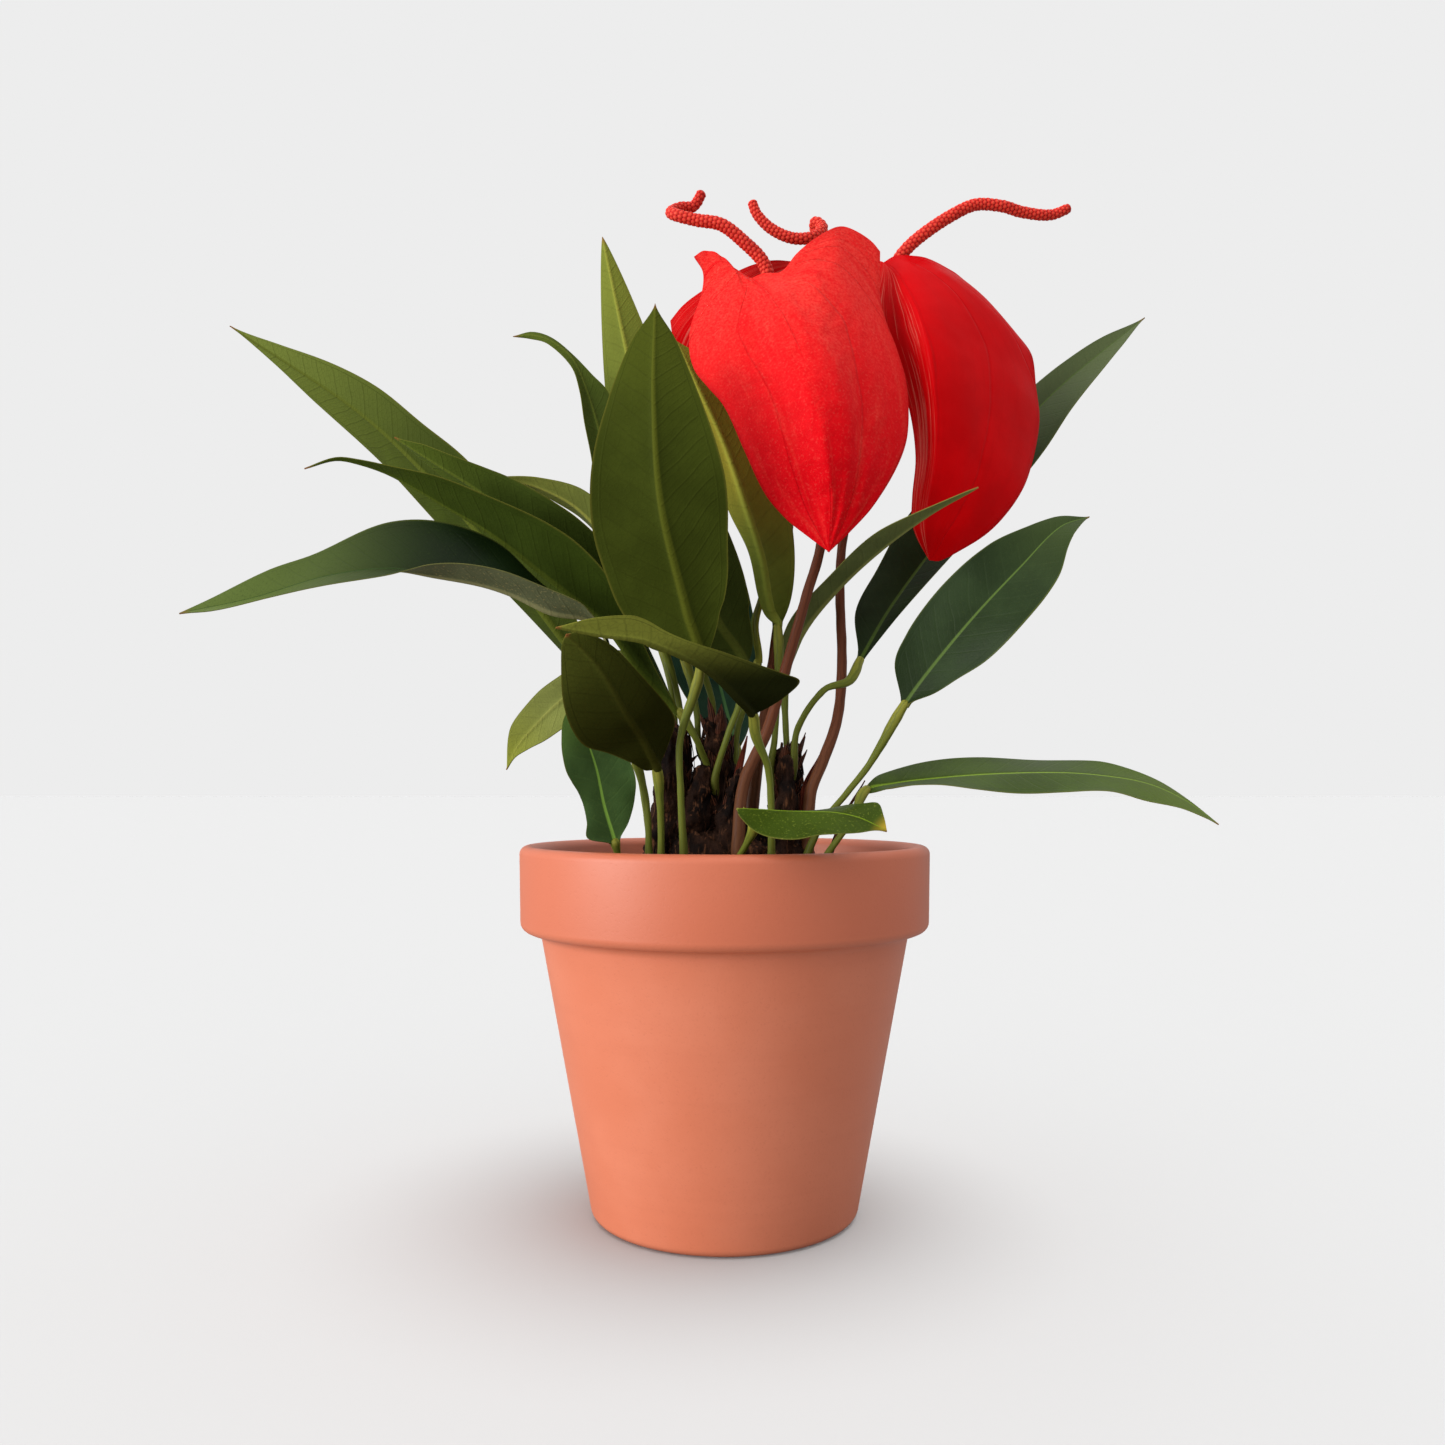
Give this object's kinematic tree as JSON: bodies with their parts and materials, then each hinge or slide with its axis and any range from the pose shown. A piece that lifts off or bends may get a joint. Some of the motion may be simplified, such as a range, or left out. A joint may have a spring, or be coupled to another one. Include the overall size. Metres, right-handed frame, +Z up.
{
  "type": "potted anthurium",
  "caption": "Tapered pot with a rim band holding a flowering plant: long leaves on stalks, heart-shaped spathes and curling spadices.",
  "frame": {"origin": "centre of the pot's underside, on the pot's turning axis", "axes": "+Z up along the pot's axis; -Y is the front, towards the large front spathe; +X to the right of a viewer at the front"},
  "size_m": [0.333, 0.1548, 0.3294],
  "materials": {
    "pot_terracotta": "satin, smooth salmon terracotta",
    "soil": "rough, dark potting mix",
    "crown_bark": "rough, fibrous",
    "sheath": "dry, papery",
    "leaf_green": "waxy, satin",
    "petiole_green": "satin",
    "peduncle": "satin",
    "spathe_red": "waxy, glossy",
    "spadix_red": "beaded, matte"
  },
  "bodies": {
    "root": {"leaf_arching_left": "leaf_green", "leaf_back_centre": "leaf_green", "leaf_behind_front": "leaf_green", "leaf_broad_right": "leaf_green", "leaf_curled_left": "leaf_green", "leaf_dark_left": "leaf_green", "leaf_drooping_left": "leaf_green", "leaf_edge_centre": "leaf_green", "leaf_far_right": "leaf_green", "leaf_folded_front": "leaf_green", "leaf_low_right": "leaf_green", "leaf_middle_left": "leaf_green", "leaf_olive_centre": "leaf_green", "leaf_rim_front": "leaf_green", "leaf_rim_left": "leaf_green", "leaf_shaded_front": "leaf_green", "leaf_sliver_left": "leaf_green", "leaf_tall_left": "leaf_green", "leaf_thin_right": "leaf_green", "leaf_upper_left": "leaf_green", "leaf_upright_front": "leaf_green", "peduncle_back": "peduncle", "peduncle_front": "peduncle", "peduncle_right": "peduncle", "petiole_arching_left": "petiole_green", "petiole_back_centre": "petiole_green", "petiole_behind_front": "petiole_green", "petiole_broad_right": "petiole_green", "petiole_curled_left": "petiole_green", "petiole_dark_left": "petiole_green", "petiole_drooping_left": "petiole_green", "petiole_edge_centre": "petiole_green", "petiole_far_right": "petiole_green", "petiole_folded_front": "petiole_green", "petiole_low_right": "petiole_green", "petiole_middle_left": "petiole_green", "petiole_olive_centre": "petiole_green", "petiole_rim_front": "petiole_green", "petiole_rim_left": "petiole_green", "petiole_shaded_front": "petiole_green", "petiole_sliver_left": "petiole_green", "petiole_tall_left": "petiole_green", "petiole_thin_right": "petiole_green", "petiole_upper_left": "petiole_green", "petiole_upright_front": "petiole_green", "pot": "pot_terracotta", "rhizome_left": "crown_bark", "rhizome_middle": "crown_bark", "rhizome_right": "crown_bark", "root_mound": "crown_bark", "sheath_hooked": "sheath", "sheath_outer": "sheath", "sheath_red": "sheath", "soil": "soil", "spadix_back": "spadix_red", "spadix_front": "spadix_red", "spadix_right": "spadix_red", "spathe_back": "spathe_red", "spathe_front": "spathe_red", "spathe_right": "spathe_red"}
  },
  "joints": []
}
